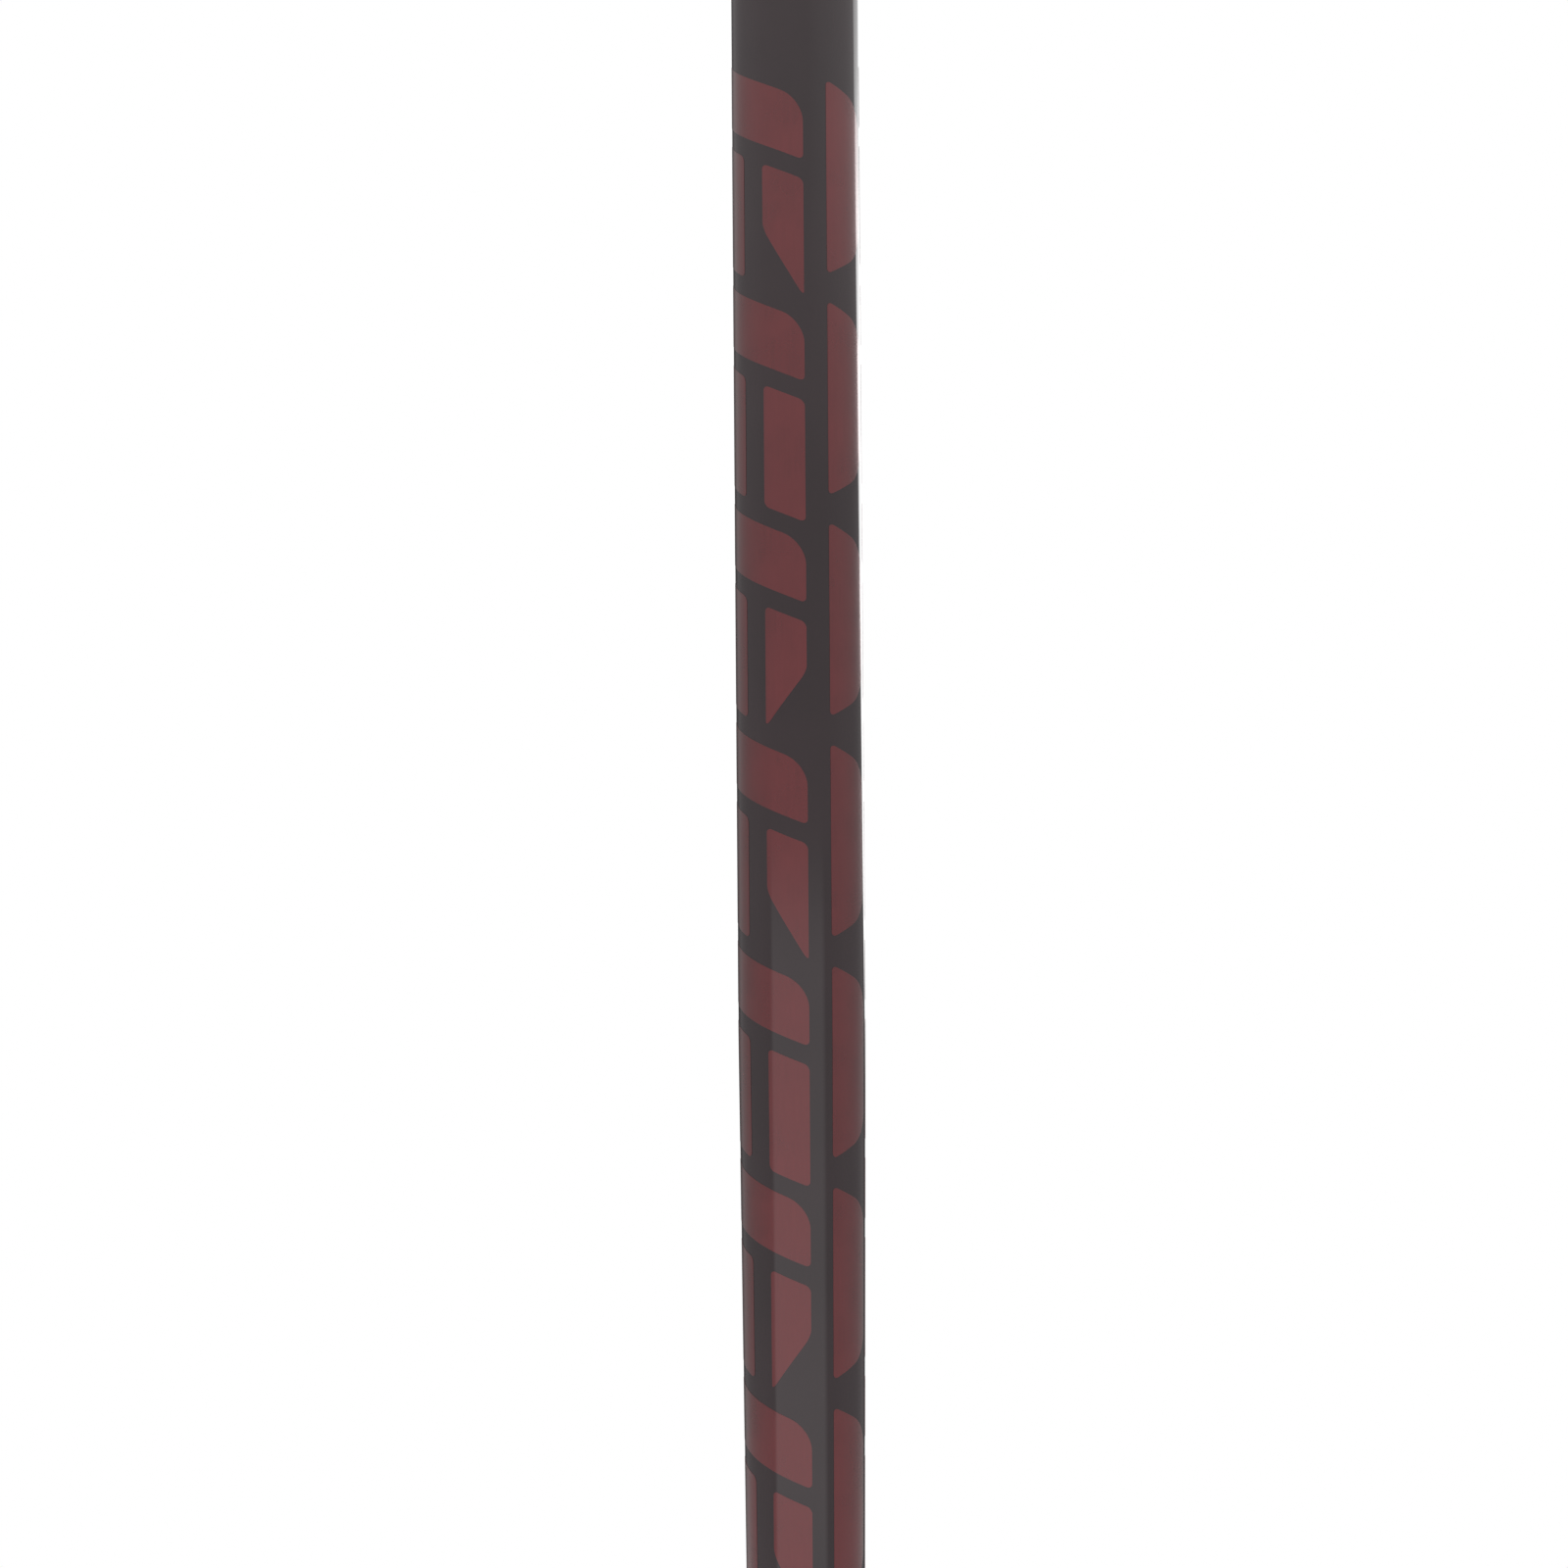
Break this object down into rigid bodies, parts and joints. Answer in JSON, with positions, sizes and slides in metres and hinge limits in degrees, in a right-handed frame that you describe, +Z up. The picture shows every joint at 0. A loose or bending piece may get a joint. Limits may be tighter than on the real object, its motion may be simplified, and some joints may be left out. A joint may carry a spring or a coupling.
{
  "type": "ski pole",
  "caption": "Fixed-length alpine ski pole: tapered tube shaft, moulded grip with adjustable wrist strap, turning basket and toothed metal tip.",
  "frame": {"origin": "on the shaft's axis at the middle of the hand's hold on the grip, 1118 mm above the point of the tip", "axes": "+Z up along the shaft towards the grip's cap, +X towards the finger side of the grip, so the wrist strap hangs on the -X side"},
  "size_m": [0.1051, 0.06, 1.2],
  "materials": {
    "shaft_paint": "satin",
    "hard_plastic": "satin",
    "grip_rubber": "matte",
    "basket_rubber": "satin",
    "red_plastic": "satin",
    "strap_webbing": "matte",
    "strap_padding": "matte",
    "tip_steel": "satin",
    "spring_steel": "satin"
  },
  "bodies": {
    "pole": {"shaft_tube": "shaft_paint", "shaft_plug": "hard_plastic", "ferrule": "hard_plastic", "tip_insert": "tip_steel", "basket_clip": "spring_steel", "grip_core": "hard_plastic", "grip_sleeve": "grip_rubber", "grip_palm_pad": "red_plastic", "grip_collar": "red_plastic", "grip_cap": "grip_rubber", "cap_screw": "spring_steel", "cap_inlay": "red_plastic", "strap_pin": "spring_steel", "strap_fixed_end": "strap_webbing", "strap_lock_bight": "strap_webbing"},
    "basket": {"basket_hub": "hard_plastic", "basket_disc": "basket_rubber"},
    "wedge": {"strap_wedge": "red_plastic"},
    "strap": {"strap_loop": "strap_webbing", "strap_pad": "strap_padding", "strap_tail": "strap_webbing", "strap_end_tab": "basket_rubber"},
    "keeper": {"strap_keeper": "basket_rubber"}
  },
  "joints": [
    {"name": "basket_spin", "type": "hinge", "parent": "pole", "child": "basket", "pos_m": [0, 0, -1.059], "axis": [0, 0, 1], "continuous": true},
    {"name": "wedge_slide", "type": "slide", "parent": "pole", "child": "wedge", "axis": [-1, 0, 0], "range_m": [0, 0.006]},
    {"name": "strap_swing", "type": "hinge", "parent": "pole", "child": "strap", "pos_m": [-0.03995, 0, 0.032], "axis": [0, 1, 0], "range_deg": [0, 110]},
    {"name": "keeper_slide", "type": "slide", "parent": "strap", "child": "keeper", "axis": [0, 0, -1], "range_m": [0, 0.019]}
  ]
}
